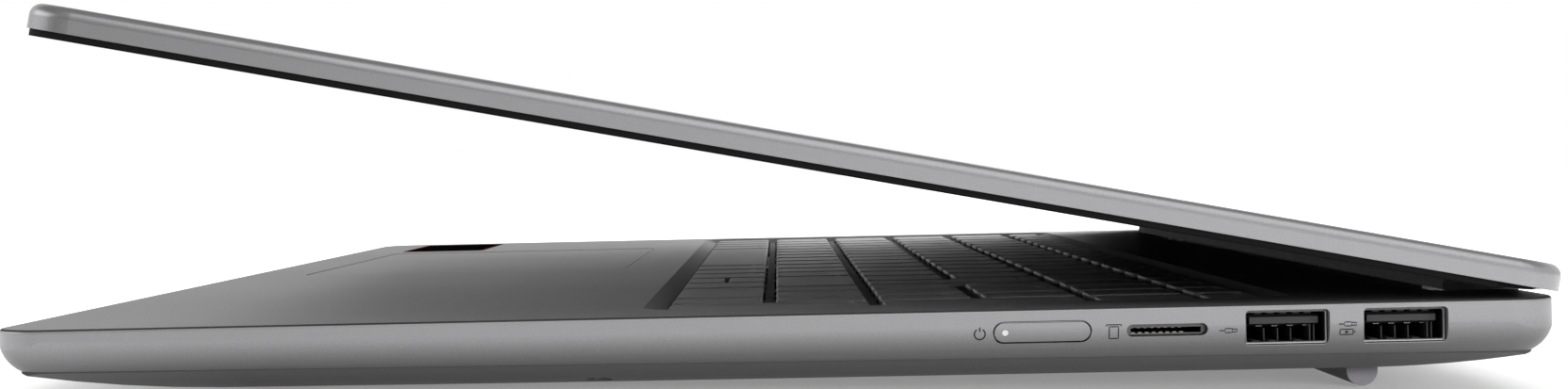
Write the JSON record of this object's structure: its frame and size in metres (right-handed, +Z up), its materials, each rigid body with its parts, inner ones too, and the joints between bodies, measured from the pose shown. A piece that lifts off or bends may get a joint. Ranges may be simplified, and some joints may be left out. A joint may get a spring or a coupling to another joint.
{
  "type": "laptop computer",
  "caption": "Slim metal laptop with a full keyboard and number pad, its lid held part open on sunk friction hinges.",
  "frame": {"origin": "middle of the footprint, at the bottom of the feet", "axes": "+X to the user's right along the hinge line, +Y to the rear, +Z up"},
  "size_m": [0.356, 0.2528, 0.0637],
  "materials": {
    "case_metal": "sandblasted and anodised, satin",
    "touchpad_glass": "etched, satin, painted grey behind",
    "keyboard_plastic": "fine matte",
    "key_plastic": "smooth matte",
    "steel": "satin",
    "black_plastic": "fine matte",
    "rubber": "matte",
    "screen": "anti-glare, dark when off",
    "lens": "polished",
    "battery_wrap": "matte film",
    "circuit_board": "solder mask",
    "copper": "satin copper",
    "light": "clear white"
  },
  "bodies": {
    "base": {"top_case": "case_metal", "bottom_cover": "case_metal", "bottom_screws": "steel", "front_feet": "rubber", "rear_foot": "rubber", "keyboard_frame": "keyboard_plastic", "keyboard_plate": "steel", "usb_a_front_port": "steel", "usb_a_rear_port": "steel", "card_reader": "black_plastic", "hdmi_port": "steel", "usb_c_ports": "steel", "audio_jack": "black_plastic", "battery": "battery_wrap", "main_board": "circuit_board", "fan_housing": "black_plastic", "heat_pipe": "copper", "heat_sink": "steel", "ssd": "circuit_board", "wifi_card": "circuit_board", "speakers": "black_plastic", "left_hinge_base": "steel", "right_hinge_base": "steel"},
    "lid": {"lid_cover": "case_metal", "display_panel": "screen", "screen_frame": "black_plastic", "screen_seal": "rubber", "camera": "lens", "hinge_cover": "black_plastic", "left_hinge_arm": "steel", "right_hinge_arm": "steel"},
    "fan": {"fan_rotor": "black_plastic"},
    "power_button": {"power_button": "case_metal", "power_light": "light"},
    "touchpad": {"touchpad": "touchpad_glass"},
    "enter_key": {"enter_key": "key_plastic"},
    "escape_key": {"escape_key": "key_plastic"},
    "delete_key": {"delete_key": "key_plastic"},
    "backspace_key": {"backspace_key": "key_plastic"},
    "tab_key": {"tab_key": "key_plastic"},
    "caps_lock_key": {"caps_lock_key": "key_plastic"},
    "left_shift_key": {"left_shift_key": "key_plastic"},
    "right_shift_key": {"right_shift_key": "key_plastic"},
    "left_ctrl_key": {"left_ctrl_key": "key_plastic"},
    "space_bar": {"space_bar": "key_plastic"},
    "left_arrow_key": {"left_arrow_key": "key_plastic"},
    "up_arrow_key": {"up_arrow_key": "key_plastic"},
    "down_arrow_key": {"down_arrow_key": "key_plastic"},
    "right_arrow_key": {"right_arrow_key": "key_plastic"},
    "pad_zero_key": {"pad_zero_key": "key_plastic"},
    "pad_enter_key": {"pad_enter_key": "key_plastic"},
    "pad_plus_key": {"pad_plus_key": "key_plastic"},
    "function_keys": {"function_keys": "key_plastic"},
    "number_keys": {"number_keys": "key_plastic"},
    "upper_letter_keys": {"upper_letter_keys": "key_plastic"},
    "home_letter_keys": {"home_letter_keys": "key_plastic"},
    "lower_letter_keys": {"lower_letter_keys": "key_plastic"},
    "modifier_keys": {"modifier_keys": "key_plastic"},
    "pad_keys": {"pad_keys": "key_plastic"}
  },
  "joints": [
    {"name": "lid_hinge", "type": "hinge", "parent": "base", "child": "lid", "pos_m": [0, 0.1216, 0.01069], "axis": [-1, 0, 0], "range_deg": [-11, 169]},
    {"name": "fan_spin", "type": "hinge", "parent": "base", "child": "fan", "pos_m": [-0.06, 0.073, 0.00489], "axis": [0, -0.0175, 0.9998], "continuous": true},
    {"name": "power_press", "type": "slide", "parent": "base", "child": "power_button", "axis": [-1, 0, 0], "range_m": [0, 0.0004], "stiffness_N_per_m": 3000, "springref_m": -0.0003},
    {"name": "touchpad_press", "type": "hinge", "parent": "base", "child": "touchpad", "pos_m": [-0.0468, -0.03656, 0.01284], "axis": [1, 0, 0], "range_deg": [0, 0.4], "stiffness_Nm_per_rad": 12, "springref_deg": -0.23},
    {"name": "enter_key_press", "type": "slide", "parent": "base", "child": "enter_key", "axis": [0, 0.0175, -0.9998], "range_m": [0, 0.0014], "stiffness_N_per_m": 350, "springref_m": -0.0005},
    {"name": "escape_key_press", "type": "slide", "parent": "base", "child": "escape_key", "axis": [0, 0.0175, -0.9998], "range_m": [0, 0.0014], "stiffness_N_per_m": 350, "springref_m": -0.0005},
    {"name": "delete_key_press", "type": "slide", "parent": "base", "child": "delete_key", "axis": [0, 0.0175, -0.9998], "range_m": [0, 0.0014], "stiffness_N_per_m": 350, "springref_m": -0.0005},
    {"name": "backspace_key_press", "type": "slide", "parent": "base", "child": "backspace_key", "axis": [0, 0.0175, -0.9998], "range_m": [0, 0.0014], "stiffness_N_per_m": 350, "springref_m": -0.0005},
    {"name": "tab_key_press", "type": "slide", "parent": "base", "child": "tab_key", "axis": [0, 0.0175, -0.9998], "range_m": [0, 0.0014], "stiffness_N_per_m": 350, "springref_m": -0.0005},
    {"name": "caps_lock_key_press", "type": "slide", "parent": "base", "child": "caps_lock_key", "axis": [0, 0.0175, -0.9998], "range_m": [0, 0.0014], "stiffness_N_per_m": 350, "springref_m": -0.0005},
    {"name": "left_shift_key_press", "type": "slide", "parent": "base", "child": "left_shift_key", "axis": [0, 0.0175, -0.9998], "range_m": [0, 0.0014], "stiffness_N_per_m": 350, "springref_m": -0.0005},
    {"name": "right_shift_key_press", "type": "slide", "parent": "base", "child": "right_shift_key", "axis": [0, 0.0175, -0.9998], "range_m": [0, 0.0014], "stiffness_N_per_m": 350, "springref_m": -0.0005},
    {"name": "left_ctrl_key_press", "type": "slide", "parent": "base", "child": "left_ctrl_key", "axis": [0, 0.0175, -0.9998], "range_m": [0, 0.0014], "stiffness_N_per_m": 350, "springref_m": -0.0005},
    {"name": "space_bar_press", "type": "slide", "parent": "base", "child": "space_bar", "axis": [0, 0.0175, -0.9998], "range_m": [0, 0.0014], "stiffness_N_per_m": 350, "springref_m": -0.0005},
    {"name": "left_arrow_key_press", "type": "slide", "parent": "base", "child": "left_arrow_key", "axis": [0, 0.0175, -0.9998], "range_m": [0, 0.0014], "stiffness_N_per_m": 350, "springref_m": -0.0005},
    {"name": "up_arrow_key_press", "type": "slide", "parent": "base", "child": "up_arrow_key", "axis": [0, 0.0175, -0.9998], "range_m": [0, 0.0014], "stiffness_N_per_m": 350, "springref_m": -0.0005},
    {"name": "down_arrow_key_press", "type": "slide", "parent": "base", "child": "down_arrow_key", "axis": [0, 0.0175, -0.9998], "range_m": [0, 0.0014], "stiffness_N_per_m": 350, "springref_m": -0.0005},
    {"name": "right_arrow_key_press", "type": "slide", "parent": "base", "child": "right_arrow_key", "axis": [0, 0.0175, -0.9998], "range_m": [0, 0.0014], "stiffness_N_per_m": 350, "springref_m": -0.0005},
    {"name": "pad_zero_key_press", "type": "slide", "parent": "base", "child": "pad_zero_key", "axis": [0, 0.0175, -0.9998], "range_m": [0, 0.0014], "stiffness_N_per_m": 350, "springref_m": -0.0005},
    {"name": "pad_enter_key_press", "type": "slide", "parent": "base", "child": "pad_enter_key", "axis": [0, 0.0175, -0.9998], "range_m": [0, 0.0014], "stiffness_N_per_m": 350, "springref_m": -0.0005},
    {"name": "pad_plus_key_press", "type": "slide", "parent": "base", "child": "pad_plus_key", "axis": [0, 0.0175, -0.9998], "range_m": [0, 0.0014], "stiffness_N_per_m": 350, "springref_m": -0.0005},
    {"name": "function_keys_press", "type": "slide", "parent": "base", "child": "function_keys", "axis": [0, 0.0175, -0.9998], "range_m": [0, 0.0014], "stiffness_N_per_m": 1400, "springref_m": -0.0005},
    {"name": "number_keys_press", "type": "slide", "parent": "base", "child": "number_keys", "axis": [0, 0.0175, -0.9998], "range_m": [0, 0.0014], "stiffness_N_per_m": 1400, "springref_m": -0.0005},
    {"name": "upper_letter_keys_press", "type": "slide", "parent": "base", "child": "upper_letter_keys", "axis": [0, 0.0175, -0.9998], "range_m": [0, 0.0014], "stiffness_N_per_m": 1400, "springref_m": -0.0005},
    {"name": "home_letter_keys_press", "type": "slide", "parent": "base", "child": "home_letter_keys", "axis": [0, 0.0175, -0.9998], "range_m": [0, 0.0014], "stiffness_N_per_m": 1400, "springref_m": -0.0005},
    {"name": "lower_letter_keys_press", "type": "slide", "parent": "base", "child": "lower_letter_keys", "axis": [0, 0.0175, -0.9998], "range_m": [0, 0.0014], "stiffness_N_per_m": 1400, "springref_m": -0.0005},
    {"name": "modifier_keys_press", "type": "slide", "parent": "base", "child": "modifier_keys", "axis": [0, 0.0175, -0.9998], "range_m": [0, 0.0014], "stiffness_N_per_m": 1400, "springref_m": -0.0005},
    {"name": "pad_keys_press", "type": "slide", "parent": "base", "child": "pad_keys", "axis": [0, 0.0175, -0.9998], "range_m": [0, 0.0014], "stiffness_N_per_m": 1400, "springref_m": -0.0005}
  ]
}
